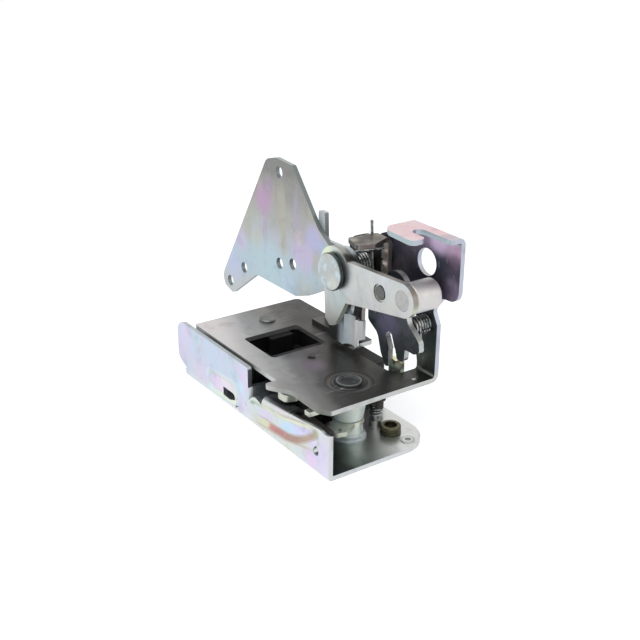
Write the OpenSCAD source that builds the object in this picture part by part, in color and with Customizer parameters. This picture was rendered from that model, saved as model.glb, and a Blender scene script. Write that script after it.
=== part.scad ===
// Cab door lock: a folded face bracket and a folded frame plate carry a claw, a pawl and a stack of release levers.
// Pieces are drawn from the lower outer corner at the near end of the face plate, x running back to the far end.

/* [Sheets] */
// Thickness of the two folded sheets
sheet = 2.5; // [2:0.25:3]
// Inner radius of the folds
fold_r = 1.5; // [1:0.25:2]

/* [Face bracket] */
// Length of the face plate
face_len = 150; // [145:1:180]
// Height of the face plate beyond the striker notch
face_h = 31; // [31:0.5:34]
// Height of the face plate beside the striker notch
lip_h = 19.5; // [18.5:0.25:19.75]
// Rise of the edge from the notch to the near end, in degrees
lip_rise = 5.6; // [4:0.1:5.8]
// Depth of the two pressed pockets
pocket_depth = 1; // [0.6:0.1:1.4]
// Depth of the turned-in lip
lip_depth = 8; // [5:0.5:9]
// Distance from the near end to the far side of the striker notch
notch_far = 72.7; // [71:0.1:75]
// Height of the notch floor
notch_floor = 8.6; // [8:0.1:10]
// Depth of the guide wall behind the notch
guide_depth = 19; // [12:0.5:22]
// Length of the base from the near end
base_len = 83; // [80:1:95]
// Depth of the base from the face
base_depth = 66; // [62:0.5:70]
// Outer radius of the fold between face plate and base
base_fold = 2.2; // [1:0.1:4]
// Corner radius of the base
base_r = 18; // [10:1:24]
// Bore of the press nut in the base
nut_bore = 6.7; // [5:0.1:7]
// Distance of the press nut from the near end
nut_from_end = 18; // [16:0.5:22]
// Distance of the press nut from the face
nut_from_face = 51.5; // [48:0.5:54]

/* [Frame plate] */
// Height of the top of the frame plate
plate_top = 32.4; // [32.4:0.1:34]
// Distance from the near end to the far edge of the frame plate
plate_far = 135; // [132:1:140]
// Distance from the near end to the near edge of the frame plate
plate_near = 8; // [6:0.5:9]
// Distance of the back of the frame plate from the face
plate_back = 73; // [73:0.5:76]
// Height of the top of the cable hook
hook_top = 110.5; // [108:0.5:118]
// Diameter of the cable hole in the anchor plate
cable_hole_d = 14; // [8:0.5:16]
// Width of the open hook slot
hook_slot_w = 7; // [5:0.5:8]

/* [Main pin] */
// Distance of the main pin from the near end
pin_from_end = 62.3; // [61:0.1:64]
// Height of the main pin
pin_z = 78; // [77:0.5:80]
// Diameter of the main pin in the levers
pin_d = 12; // [10:0.5:13]
// Diameter of the main pin head
head_d = 20; // [17:0.5:22]
// Running clearance on a radius
run = 0.06; // [0.03:0.01:0.1]

/* [Levers] */
// Thickness of the bell crank
crank_t = 3; // [2.5:0.25:3.25]
// Distance between the main pin and the roller pin
crank_len = 55; // [50:0.5:58]
// Diameter of the roller
roller_d = 15.5; // [12:0.5:16]
// Length of the roller
roller_len = 15; // [12:0.5:16]
// Thickness of the handle lever
handle_t = 2.5; // [2:0.25:2.75]
// Diameter of the rod holes in the handle lever
rod_hole_d = 6.6; // [5:0.2:7.4]
// Thickness of the lug lever
lug_t = 2.5; // [2:0.25:2.75]
// Thickness of the fork lever
fork_t = 3; // [2.5:0.25:3.25]
// Width of the slot in the fork lever
fork_slot_w = 5.2; // [4:0.2:6]

/* [Latch] */
// Thickness of the claw and the pawl
claw_t = 3.8; // [3.2:0.1:3.8]
// Height of the underside of the claw and the pawl
claw_z = 22.2; // [22.2:0.1:22.4]
// Distance of the claw pivot from the near end
claw_from_end = 50; // [49.5:0.1:51]
// Distance of the claw pivot from the face
claw_from_face = 30; // [29.8:0.1:30.4]
// Diameter of the claw pivot
claw_pin_d = 8; // [6:0.5:9]
// Diameter of the pawl pivot
pawl_pin_d = 4.4; // [4:0.1:5]

/* [Hidden] */
$fn = 64;
gap = 0.3;
outer_r = fold_r + sheet;
plate_under = plate_top - sheet;
flange_in = plate_back - sheet;
pin_x = -pin_from_end;
near_post = [-28.8, 32.4];
claw_at = [-claw_from_end, claw_from_face];
pawl_at = [-28.5, 50.2];
journal_d = 10;
window = [[-102.7, 15.8], [-73.1, 50.4]];
far_rivet_at = [-117.4, 40.3];
dark_hole = [-62.6, 33.1];
crank_y = 46.8;
handle_y = crank_y + crank_t + gap + 0.1;
lug_y = handle_y + handle_t + gap;
fork_y = 57;
roller_y = crank_y + crank_t + 0.7;
bracket_y = flange_in - sheet;
roller_at = [pin_x + crank_len, pin_z + 1.9];
fork_at = [pin_x + 37.7, pin_z + 0.2];
spring_at = [-15.5, 60];
tab_top = 97;

// Unit vector along v
function unit(v) = v / norm(v);

// Points of the arc of radius r that rounds the corner at b between a and c
function corner_arc(a, b, c, r, steps = 6) =
    let (u = unit(a - b), v = unit(c - b), half = acos(u * v) / 2)
    let (centre = b + unit(u + v) * r / sin(half), start = b + u * r / tan(half) - centre)
    let (finish = b + v * r / tan(half) - centre)
    let (a0 = atan2(start.y, start.x), turn = atan2(finish.y, finish.x) - a0)
    let (sweep = turn > 180 ? turn - 360 : turn < -180 ? turn + 360 : turn)
    [for (i = [0:steps]) centre + r * [cos(a0 + sweep * i / steps), sin(a0 + sweep * i / steps)]];

// Outline through corners written as [x, y] or [x, y, radius]
function rounded(p) = [for (i = [0:len(p) - 1])
    let (a = p[(i + len(p) - 1) % len(p)], b = p[i], c = p[(i + 1) % len(p)])
    each (len(b) < 3 ? [b] : corner_arc([a.x, a.y], [b.x, b.y], [c.x, c.y], b.z))];

// Moves the drawing's corner so that the press nut's thread is on the origin
module from_corner() {
    translate([nut_from_end, -nut_from_face, 0]) children();
}

// A plate across the depth: the outline is x and z, the plate runs from y to y + t
module upright(y, t) {
    translate([0, y + t, 0]) rotate([90, 0, 0]) linear_extrude(t) children();
}

// A section carried along x: the outline is y and z
module along_x(from, to) {
    translate([from, 0, 0]) rotate([90, 0, 90]) linear_extrude(to - from) children();
}

// A level plate: the outline is x and y
module level(z, t) {
    translate([0, 0, z]) linear_extrude(t) children();
}

// A round bar along the depth
module bar_y(at, y, h, d) {
    translate([at.x, y, at.y]) rotate([-90, 0, 0]) cylinder(h = h, d = d);
}

// A round bar upwards
module bar_z(at, z, h, d) {
    translate([at.x, at.y, z]) cylinder(h = h, d = d);
}

// A long round-ended pocket pressed in from the front, between two end centres
module pocket(from, to, r, wall, depth, lead = 0.2) {
    span = norm(to - from);
    slope = wall / depth;
    translate([from.x, 0, from.y]) rotate([0, -atan2(to.y - from.y, to.x - from.x), 0]) {
        for (x = [0, span]) translate([x, -lead, 0]) rotate([-90, 0, 0])
            cylinder(h = depth + lead, r1 = r + slope * lead, r2 = r - wall);
        along_x(0, span) polygon([[-lead, r + slope * lead], [depth, r - wall], [depth, wall - r],
            [-lead, -r - slope * lead]]);
    }
}

// Points round a coil of mean radius r about +z
function coil_points(r, pitch, turns, start, steps = 20) =
    [for (i = [0:turns * steps]) let (a = start + 360 * i / steps)
        [r * cos(a), r * sin(a), pitch * i / steps]];

// A swept round wire through points, as one skin with flat ends
module swept(points, d, sides = 8) {
    last = len(points) - 1;
    rings = [for (i = [0:last])
        let (t = unit(points[min(i + 1, last)] - points[max(i - 1, 0)]))
        let (side = unit(cross(t, abs(t.z) > 0.9 ? [1, 0, 0] : [0, 0, 1])), up = cross(side, t))
        for (k = [0:sides - 1]) points[i] + d / 2 * (cos(360 * k / sides) * side + sin(360 * k / sides) * up)];
    walls = [for (i = [0:last - 1], k = [0:sides - 1])
        let (n = (k + 1) % sides)
        each [[i * sides + k, i * sides + n, (i + 1) * sides + n], [i * sides + k, (i + 1) * sides + n, (i + 1) * sides + k]]];
    ends = [[for (k = [sides - 1:-1:0]) k], [for (k = [0:sides - 1]) last * sides + k]];
    polyhedron(points = rings, faces = concat(walls, ends));
}

// The two long pockets pressed into the face plate
module face_pockets() {
    pocket([-66.5, 8.8], [-40, 11.4], 5.9, 2.4, pocket_depth);
    pocket([-40, 11.4], [-14.4, 17.4], 5.9, 2.4, pocket_depth);
    pocket([-110.5, 8.2], [-90, 9.4], 6.6, 2.2, pocket_depth);
}

module face_bracket() {
    lip_from = -60;
    lip_to = -33;
    lip_at = function(x) lip_h + (x - lip_from) * tan(lip_rise);
    from_corner() color([0.78, 0.82, 0.88]) difference() {
        union() {
            upright(0, sheet) polygon(rounded([[-face_len, 8, 5], [-face_len, face_h, 7], [-notch_far, face_h, 1.5],
                [-notch_far, lip_h], [-notch_far - outer_r, lip_h], [-notch_far - outer_r, notch_floor],
                [-notch_far + 2, notch_floor, 1], [-66, 14], [-66, 3], [-134, 0], [-139, 3.5, 2]]));
            along_x(-base_len, 0) polygon(rounded([[0, 0, base_fold], [base_depth, 0], [base_depth, sheet],
                [sheet, sheet, max(0.4, base_fold - sheet)], [sheet, 8], [0, 8]]));
            upright(0, sheet) polygon(rounded([[-notch_far - 1.5, 6], [-notch_far - 1.5, notch_floor + 2.4, 2],
                [-67, lip_h - 2, 6], [lip_from, lip_h - outer_r], [lip_to, lip_at(lip_to) - outer_r],
                [lip_to, lip_at(lip_to)], [-7, lip_at(-7) + 0.4, 5], [-4, lip_at(-4) - 0.6, 1], [0, lip_at(0) - 0.8, 1],
                [0, 6]]));
            translate([lip_from, 0, lip_h]) rotate([0, -lip_rise, 0])
                along_x(0, (lip_to - lip_from) / cos(lip_rise)) polygon(rounded([[0, -outer_r - 1.5],
                    [0, 0, outer_r], [lip_depth, 0], [lip_depth, -sheet], [sheet, -sheet, fold_r],
                    [sheet, -outer_r - 1.5]]));
            difference() {
                level(notch_floor, lip_h - notch_floor) polygon(rounded([[-86, 0], [-notch_far, 0, outer_r],
                    [-notch_far, guide_depth], [-notch_far - sheet, guide_depth],
                    [-notch_far - sheet, sheet, fold_r], [-86, sheet]]));
                along_x(-notch_far - 3, -notch_far + 1) polygon([[guide_depth + 1, notch_floor + 1],
                    [guide_depth + 1, lip_h + 1], [guide_depth - 7, lip_h + 1]]);
            }
            along_x(-142, -133) square([9, sheet]);
            upright(0, sheet) polygon([[-142, 0], [-142, 3], [-139, 6], [-130, 6], [-130, 0]]);
            translate([0, sheet, 0]) face_pockets();
            level(notch_floor - sheet, sheet) translate([-notch_far - sheet, sheet / 2])
                square([12.4, guide_depth - sheet / 2]);
            bar_z([-7, 54], sheet, 0.5, 7.4);
        }
        face_pockets();
        bar_z([-7, 54], -1, sheet + 2, 3.2);
        bar_z([-nut_from_end, nut_from_face], -1, sheet + 2, nut_bore + 3);
        bar_y([-10.8, 11.9], -1, sheet + 2, 4.6);
        bar_z(near_post, -1, sheet + 2, journal_d);
        bar_z(pawl_at, -1, sheet + 2, pawl_pin_d);
        bar_z(claw_at, -1, sheet + 2, claw_pin_d);
        upright(-3, sheet + 7) polygon(rounded([[-100.6, 3.9, 0.8], [-100.6, 8.7, 0.8], [-89.6, 8.7, 2.5], [-86.8, 5.6, 1.6],
            [-93, 3.9, 2]]));
        difference() {
            level(-1, sheet + 2) translate([-base_r, base_depth - base_r]) square(base_r + 1);
            bar_z([-base_r, base_depth - base_r], -2, sheet + 4, 2 * base_r);
        }
        along_x(-base_len - 3, -base_len) square([outer_r, outer_r]);
    }
}

module frame_plate() {
    slot_y = 56.3;
    from_corner() color([0.62, 0.61, 0.6]) difference() {
        union() {
            difference() {
                level(plate_under, sheet) polygon(rounded([[-plate_far, 3.5, 1.5], [-50.5, 3.5], [-50.5, -3.5, 1.5],
                    [-48, -3.5, 1], [-36, 3.5], [-plate_near - 6, 3, 2], [-plate_near, 7, 2],
                    [-plate_near, plate_back - outer_r], [-22, plate_back - outer_r], [-22, 60.5, 1],
                    [-28.4, slot_y, 1], [-pin_from_end, slot_y, 1], [-pin_from_end, plate_back, 1],
                    [-plate_far, plate_back, 3]]));
                level(plate_under - 1, sheet + 2) polygon(rounded([[window[0].x, window[0].y, 2],
                    [window[1].x, window[0].y, 2], [window[1].x, window[1].y, 2], [window[0].x, window[1].y, 2]]));
            }
            along_x(-22, -plate_near) polygon(rounded([[plate_back - outer_r - 0.1, plate_under],
                [plate_back, plate_under, outer_r], [plate_back, plate_under + 10], [flange_in, plate_under + 10],
                [flange_in, plate_top, fold_r], [plate_back - outer_r - 0.1, plate_top]]));
            upright(flange_in, sheet) polygon(rounded([[-22, plate_top + 4], [-22.8, 40, 4], [-24, 62, 4],
                [-44, 70, 5], [-56, 72, 3], [-56, 95.5, 4], [-50, 98, 3], [-28, hook_top - outer_r],
                [6, hook_top - outer_r], [6, 77, 6], [-5, 76.5, 3], [-11.8, 68, 3], [-plate_near, 61, 2],
                [-plate_near, plate_top + 4]]));
            along_x(-28, 6) polygon(rounded([[plate_back, hook_top - outer_r - 1], [plate_back, hook_top, outer_r],
                [plate_back - outer_r - 1, hook_top], [plate_back - outer_r - 1, hook_top - sheet],
                [flange_in, hook_top - sheet, fold_r], [flange_in, hook_top - outer_r - 1]]));
            level(hook_top - sheet, sheet) polygon(rounded([[-28, plate_back - outer_r], [-28, 52.5, 6],
                [-22, 49, 6], [-3, 47.8, 3], [-3, 56.6, 3], [-14, 56.6, hook_slot_w / 2 - 0.1],
                [-18.5, 56.6 + hook_slot_w, hook_slot_w / 2 - 0.1], [6, 56.6 + hook_slot_w, 1],
                [6, plate_back - outer_r]]));
        }
        bar_y([-18, 91.5], flange_in - 1, sheet + 2, cable_hole_d);
        bar_y(spring_at, flange_in - 1, sheet + 2, 5);
        bar_z(near_post, plate_under - 1, sheet + 2, journal_d);
        translate([near_post.x, near_post.y, plate_top]) rotate_extrude()
            polygon([[7.6, 0.1], [8.6, -0.45], [10.8, -0.45], [12.9, 0.1]]);
        bar_z(dark_hole, plate_under - 1, sheet + 2, 4.6);
        bar_z(pawl_at, plate_under - 1, sheet + 2, pawl_pin_d);
        bar_z(far_rivet_at, plate_under - 1, sheet + 2, 6);
        bar_z([-13.7, 63.4], plate_under - 1, sheet + 2, 2.2);
        for (z = [80, 88]) bar_y([-50, z], flange_in - 1, sheet + 2, 4);
    }
}

module press_nut() {
    bore = nut_bore / 2;
    from_corner() color([0.5, 0.5, 0.42]) translate([-nut_from_end, nut_from_face, sheet]) rotate_extrude()
        polygon([[bore, -sheet], [bore + 1.5, -sheet], [bore + 1.5, 0], [bore + 2.1, 0], [bore + 2.1, 1.3],
            [bore + 1.5, 1.7], [bore + 1.5, 2.2], [bore + 2, 2.6], [bore + 2, 4.1], [bore + 1.6, 4.6], [bore, 4.6]]);
}

module near_stud() {
    cone_top = 10.3;
    from_corner() color([0.78, 0.86, 0.86]) translate([near_post.x, near_post.y, 0]) rotate_extrude()
        polygon(rounded([[0, 0], [journal_d / 2, 0], [journal_d / 2, sheet], [9.6, sheet], [9.6, sheet + 1, 0.8],
            [7.8, sheet + 2.4, 1], [7.6, cone_top], [journal_d / 2, cone_top], [journal_d / 2, plate_top],
            [6.6, plate_top], [6.6, plate_top + 1, 0.5], [4.4, plate_top + 1.3, 0.3], [3.8, plate_top + 0.4],
            [0, plate_top + 0.4]]));
}

module spacer_sleeve() {
    low = 13.3;
    high = plate_under - sheet - 1.3;
    from_corner() color([0.82, 0.88, 0.88]) translate([near_post.x, near_post.y, 0]) rotate_extrude()
        polygon([[journal_d / 2, low], [7.8, low], [9.6, high - 0.6], [9.2, high], [journal_d / 2, high]]);
}

module stud_washer() {
    from_corner() color([0.8, 0.82, 0.82]) translate([near_post.x, near_post.y, plate_under - 0.7]) difference() {
        cylinder(h = 0.7, d = 18);
        translate([0, 0, -1]) cylinder(h = 4, d = journal_d);
    }
}

module far_rivet() {
    from_corner() color([0.66, 0.66, 0.65]) translate([far_rivet_at.x, far_rivet_at.y, 0]) rotate_extrude()
        polygon([[0, 4], [4.5, 4], [4.5, 5], [3, 5], [3, plate_top], [4.6, plate_top], [4.6, plate_top + 0.8],
            [4.1, plate_top + 1.3], [0, plate_top + 1.3]]);
}

module latch_housing() {
    floor_z = 20;
    near_wall = -78;
    from_corner() color([0.08, 0.08, 0.08]) difference() {
        union() {
            level(5, plate_under - 5) polygon(rounded([[-131, 5, 3], [near_wall, 5, 2], [near_wall, 57], [-42, 57, 1],
                [-42, 67, 3], [-131, 67, 3]]));
            level(5, claw_z - 5.4) polygon(rounded([[-80, 26], [-62, 26, 2], [-62, 10.5, 2], [-41, 10.5, 4], [-41, 57],
                [-80, 57]]));
            level(claw_z + claw_t + 0.5, plate_under - claw_z - claw_t - 0.5)
                polygon(rounded([[-80, 22], [-57, 22, 3], [-57, 46, 3], [-80, 46]]));
            bar_z(dark_hole, plate_under - 1, sheet + 0.2, 4.2);
            level(0.8, 5) translate([-120, 5]) square([35.4, 22]);
        }
        difference() {
            level(floor_z, 20) polygon(rounded([[-104, 14.5, 3], [-80, 14.5, 3], [-80, 51.5, 3], [-104, 51.5, 3]]));
            level(floor_z - 1, 30) translate([-102.4, 31]) square([4.4, 14]);
        }
        bar_z(claw_at, 4, 40, claw_pin_d + 2 * gap);
        bar_z(claw_at, 8, 40, 13.4);
        bar_z(far_rivet_at, 4, 40, 6);
        level(4, 2) translate([-140, 0]) square([8, 80]);
    }
}

module rubber_buffer() {
    from_corner() color([0.12, 0.11, 0.1]) difference() {
        along_x(-30, -9.5) polygon(rounded([[sheet, 15], [sheet, 21], [9.5, 21, 1], [9.5, 15, 1]]));
        translate([0, sheet, 0]) face_pockets();
    }
}

module rubber_stop() {
    from_corner() color([0.1, 0.1, 0.1]) translate([-11, 38, 0]) {
        translate([0, 0, plate_under - 1.2]) cylinder(h = 1.2, d = 6.5);
        translate([0, 0, 24]) cylinder(h = plate_under - 24, d = 4.4);
    }
}

module claw_pivot() {
    from_corner() color([0.7, 0.72, 0.72]) translate([claw_at.x, claw_at.y, 0]) rotate_extrude()
        polygon([[0, 0], [claw_pin_d / 2, 0], [claw_pin_d / 2, sheet], [7, sheet], [7, sheet + 2],
            [claw_pin_d / 2, sheet + 2], [claw_pin_d / 2, claw_z + claw_t + gap], [5.4, claw_z + claw_t + gap],
            [5.4, plate_under], [0, plate_under]]);
}

module claw_spring() {
    from_corner() color([0.6, 0.62, 0.62]) translate([claw_at.x, claw_at.y, 9.2])
        swept(coil_points(claw_pin_d / 2 + 1.2, 2.1, 5, 0, 16), 1.6, 8);
}

module pawl_pivot() {
    from_corner() color([0.75, 0.78, 0.76]) translate([pawl_at.x, pawl_at.y, 0]) rotate_extrude()
        polygon([[0, 0], [pawl_pin_d / 2, 0], [pawl_pin_d / 2, sheet], [3.6, sheet], [3.6, sheet + 4],
            [pawl_pin_d / 2, sheet + 4], [pawl_pin_d / 2, plate_top], [0, plate_top]]);
}

module pawl_spring() {
    from_corner() color([0.7, 0.72, 0.7]) translate([pawl_at.x, pawl_at.y, 9])
        swept(coil_points(2.9, 1.5, 8, 180, 14), 1, 8);
}

module lever_bracket() {
    foot_t = sheet;
    from_corner() color([0.42, 0.4, 0.36]) difference() {
        union() {
            upright(bracket_y, sheet) polygon(rounded([[-100, plate_top + foot_t], [-100, 44, 5], [-78, 60, 8],
                [-78, 88, 8], [-66, 93, 6], [-54.2, 93.4, 1], [-54.2, tab_top - outer_r], [-45, tab_top - outer_r], [-45, 64, 4],
                [-66, 52, 6], [-66, plate_top + foot_t]]));
            along_x(-54.2, -45) polygon(rounded([[bracket_y + sheet, tab_top - outer_r - 1],
                [bracket_y + sheet, tab_top, outer_r], [bracket_y - fold_r - 1, tab_top],
                [bracket_y - fold_r - 1, tab_top - sheet], [bracket_y, tab_top - sheet, fold_r],
                [bracket_y, tab_top - outer_r - 1]]));
            level(tab_top - sheet, sheet) polygon(rounded([[-54.2, bracket_y - fold_r], [-56, 50.3, 1.5], [-43.4, 46.8, 1.5],
                [-40.4, 56, 1.5], [-45, bracket_y - fold_r]]));
            along_x(-100, -66) polygon(rounded([[bracket_y + sheet, plate_top + 6], [bracket_y + sheet, plate_top, outer_r],
                [59, plate_top], [59, plate_top + foot_t], [bracket_y, plate_top + foot_t, fold_r],
                [bracket_y, plate_top + 6]]));
        }
        bar_y([pin_x, pin_z], bracket_y - 1, sheet + 2, 8);
        for (z = [80, 88]) bar_y([-50, z], bracket_y - 1, sheet + 2, 4);
    }
}

module bracket_rivets() {
    from_corner() color([0.7, 0.7, 0.7]) for (z = [80, 88]) {
        bar_y([-50, z], bracket_y - 1.2, 1.2, 7);
        bar_y([-50, z], bracket_y, 2 * sheet, 4);
        bar_y([-50, z], plate_back, 1.2, 7);
    }
}

module main_pin() {
    head_y = 43.2;
    from_corner() color([0.8, 0.84, 0.83]) translate([pin_x, head_y, pin_z]) rotate([-90, 0, 0]) rotate_extrude()
        polygon(rounded([[0, 0], [head_d / 2, 0, 0.8], [head_d / 2, 2.4, 0.5], [head_d / 2 - 1.6, 2.6],
            [head_d / 2 - 1.6, crank_y - head_y - gap], [pin_d / 2, crank_y - head_y - gap],
            [pin_d / 2, lug_y + lug_t + gap - head_y], [4, lug_y + lug_t + gap - head_y],
            [4, bracket_y + sheet - head_y], [5.2, bracket_y + sheet - head_y], [5, bracket_y + sheet + 1.6 - head_y],
            [0, bracket_y + sheet + 1.6 - head_y]]));
}

module pin_sleeve() {
    start = lug_y + lug_t + gap;
    from_corner() color([0.66, 0.68, 0.66]) difference() {
        union() {
            bar_y([pin_x, pin_z], start, 0.6, pin_d + 4);
            bar_y([pin_x, pin_z], start, bracket_y - start, 11);
        }
        bar_y([pin_x, pin_z], start - 1, bracket_y - start + 2, 8);
    }
}

module upper_spring() {
    coil_r = 6.6;
    coil = [for (p = coil_points(coil_r, 1.7, 4.625, 135, 16)) [p.x, p.z, p.y]];
    from_corner() color([0.62, 0.64, 0.62]) translate([pin_x, 58.7, pin_z])
        swept(concat([[16.2, 7.8, 13.8], [15.4, 4, 13.4], [-2.8, 0, 6.3]], coil,
            [[coil_r, 7.4, 4], [coil_r - 0.2, 6.7, 25.6]]), 1.6, 8);
}

module spring_stud() {
    from_corner() color([0.7, 0.72, 0.72]) translate([spring_at.x, fork_y + fork_t + 0.5, spring_at.y])
        rotate([-90, 0, 0]) rotate_extrude() polygon([[0, 0], [4.4, 0], [4.4, 0.8], [3.3, 0.8],
            [3.3, flange_in - fork_y - fork_t - 0.5], [2.5, flange_in - fork_y - fork_t - 0.5],
            [2.5, plate_back - fork_y - fork_t - 0.5], [3.8, plate_back - fork_y - fork_t - 0.5],
            [3.6, plate_back - fork_y - fork_t + 0.5], [0, plate_back - fork_y - fork_t + 0.5]]);
}

module lower_spring() {
    from_corner() color([0.62, 0.64, 0.64]) translate([spring_at.x, fork_y + fork_t + 2.4, spring_at.y])
        swept(concat([[7.4, -1.3, -8], [5.6, -0.4, -6], [4.6, 0, -1.5]],
            [for (p = coil_points(4.4, 1.6, 4.5, 0, 14)) [p.x, p.z, p.y]], [[-5, flange_in - fork_y - fork_t - 3.1, -6]]), 1.3, 8);
}

module claw() {
    tooth_at = 117;
    turn = 86;
    from_corner() color([0.74, 0.8, 0.83]) translate([claw_at.x, claw_at.y, 0]) difference() {
        union() {
            level(claw_z, claw_t) circle(10.6);
            level(claw_z, claw_t) intersection() {
                circle(13.5);
                polygon([[0, 0], [-14, 19], [-30, 0], [-14, -19]]);
            }
            level(claw_z, claw_t) polygon(rounded([[-7, -5], [-4.5, -22, 3], [-0.5, -26, 3], [6, -25.6, 3],
                [8, -20, 2.5], [5.5, -9], [3, 0]]));
            level(claw_z, claw_t) polygon(rounded([[5, -6], [16.5, -17, 2.5], [21.2, -15.2, 2.5], [21, -11, 2.5],
                [9, -3], [2, 2]]));
        }
        for (a = [tooth_at + turn / 2, tooth_at + turn]) rotate([0, 0, a])
            level(claw_z - 1, claw_t + 2) polygon(rounded([[10.6, -1.4, 0.5], [16, -3.4], [16, 4.6], [10.6, 1.8, 0.5]]));
        translate([0, 0, claw_z - 1]) cylinder(h = claw_t + 2, r = claw_pin_d / 2 + run);
    }
}

module pawl() {
    from_corner() color([0.76, 0.79, 0.7]) difference() {
        union() {
            level(claw_z, claw_t) polygon(rounded([[-61, 48.5, 1], [-56.9, 42.2, 0.5], [-54.4, 43.6, 0.5],
                [-52.5, 46.8, 1.5], [-34, 44.4, 3], [-24, 44, 4], [-22.4, 50, 4], [-23.4, 63.5], [-33, 63.5],
                [-33, 57, 2], [-36, 54.6, 3], [-60, 53, 3]]));
            upright(61, sheet) polygon(rounded([[-33, claw_z], [-33, 38.2, 1.5], [-27.6, 36.2, 3], [-23.4, 39.6, 1.5],
                [-23.4, claw_z]]));
        }
        translate([pawl_at.x, pawl_at.y, claw_z - 1]) cylinder(h = claw_t + 2, r = pawl_pin_d / 2 + run);
    }
}

module release_lever() {
    low = 10.6;
    from_corner() color([0.8, 0.84, 0.82]) difference() {
        union() {
            bar_z(near_post, low, 2.4, 16.4);
            level(low, 2.4) polygon(rounded([[-35, 31], [-25.4, 17, 1], [-17.4, 15.8, 3], [-15.8, 22, 3], [-22, 33]]));
        }
        bar_z(near_post, 9, 6, journal_d + 2 * run);
        bar_z([-19.6, 20], 9, 6, 3.2);
    }
}

module locking_lever() {
    low = plate_under - sheet - 1;
    from_corner() color([0.82, 0.84, 0.76]) difference() {
        union() {
            bar_z(near_post, low, sheet, 18.4);
            level(low, sheet) polygon(rounded([[-37, 32.4], [-30, 15], [-20.6, 14, 1], [-20.6, 32.4]]));
            level(low - 1.6, sheet) polygon([[-24.6, 15.5], [-24.6, 3], [-20.6, 3], [-20.6, 15.5]]);
        }
        bar_z(near_post, 20, 12, journal_d + 2 * run);
    }
}

module bell_crank() {
    end_r = 8.6;
    from_corner() color([0.77, 0.79, 0.79]) difference() {
        union() {
            bar_y([pin_x, pin_z], crank_y, crank_t, 26);
            bar_y(roller_at, crank_y, crank_t, 2 * end_r);
            upright(crank_y, crank_t) translate([pin_x, pin_z]) polygon([[4, 6], [12, 8.2],
                [crank_len - 0.6, 1.9 + end_r - 0.05], [crank_len + 1.6, 2.1 - end_r], [10, -14.6], [-2, -6]]);
            upright(crank_y, crank_t) translate([pin_x, pin_z]) polygon(rounded([[-9, -7], [-7.8, -28.7, 2],
                [-3.7, -31.8, 2], [1.2, -30, 1.5], [10.4, -14.2], [6, -4]]));
        }
        bar_y([pin_x, pin_z], crank_y - 1, crank_t + 2, pin_d + 2 * run);
        bar_y(roller_at, crank_y - 1, crank_t + 2, 8);
        bar_y(fork_at, crank_y - 1, crank_t + 2, 6);
        bar_y(fork_at, crank_y - 1, 1.8, 9.4);
    }
}

module roller_pin() {
    start = crank_y - 0.2;
    from_corner() color([0.72, 0.72, 0.7]) translate([roller_at.x, start, roller_at.y]) rotate([-90, 0, 0])
        rotate_extrude() polygon([[0, 0], [5.1, 0], [5.3, 0.2], [4, 0.2], [4, crank_t + 0.2], [5.6, crank_t + 0.2],
            [5.6, crank_t + 0.7], [3.5, crank_t + 0.7], [3.5, crank_t + roller_len + 1.4],
            [4.8, crank_t + roller_len + 1.4], [4.6, crank_t + roller_len + 2.6], [0, crank_t + roller_len + 2.6]]);
}

module fork_rivet() {
    from_corner() color([0.6, 0.6, 0.56]) translate([fork_at.x, crank_y + 0.2, fork_at.y]) rotate([-90, 0, 0])
        rotate_extrude() polygon([[0, 0], [3.6, 0], [3.8, 0.6], [3, 0.6], [3, crank_t - 0.2], [4.6, crank_t - 0.2],
            [4.6, fork_y - crank_y - gap - 0.2], [3, fork_y - crank_y - gap - 0.2],
            [3, fork_y + fork_t + gap - crank_y - 0.2], [4.4, fork_y + fork_t + gap - crank_y - 0.2],
            [4.2, fork_y + fork_t + 1.3 - crank_y], [0, fork_y + fork_t + 1.3 - crank_y]]);
}

module roller() {
    from_corner() color([0.8, 0.79, 0.78]) translate([roller_at.x, roller_y, roller_at.y]) rotate([-90, 0, 0])
        rotate_extrude() polygon(rounded([[3.5 + run, 0], [roller_d / 2, 0, 0.8], [roller_d / 2, roller_len, 0.8],
            [3.5 + run, roller_len]]));
}

module fork_lever() {
    from_corner() color([0.32, 0.31, 0.36]) difference() {
        upright(fork_y, fork_t) difference() {
            union() {
                translate(fork_at) circle(9);
                polygon(rounded([[-33, 80], [-46.4, 66, 5], [-46.2, 54.4, 3], [-38, 49.6, 6], [-35, 40, 8],
                    [-31.2, 34, 1], [-28.7, 34, 1], [-28.7, 44], [-22.6, 44], [-22, 40.6, 2], [-16.4, 41.2, 3],
                    [-15.9, 48.6, 1], [-9, 48.4, 3], [-4.8, 50.6, 2.4], [-5.6, 56, 3], [-15.6, 63.6, 8], [-16, 80]]));
            }
            translate([-25.6, 44.5]) circle(d = fork_slot_w);
            polygon([[-28.7 + 0.5, 30], [-28.7 + 0.5, 44.5], [-28.7 + 0.5 + fork_slot_w, 44.5], [-22.6, 30]]);
            translate([-28.6, 51]) circle(d = fork_slot_w);
            polygon([[-31, 50.2], [-26.2, 52], [-23.4, 45], [-28.2, 44]]);
        }
        bar_y(fork_at, fork_y - 1, fork_t + 2, 6 + 2 * run);
    }
}

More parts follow.
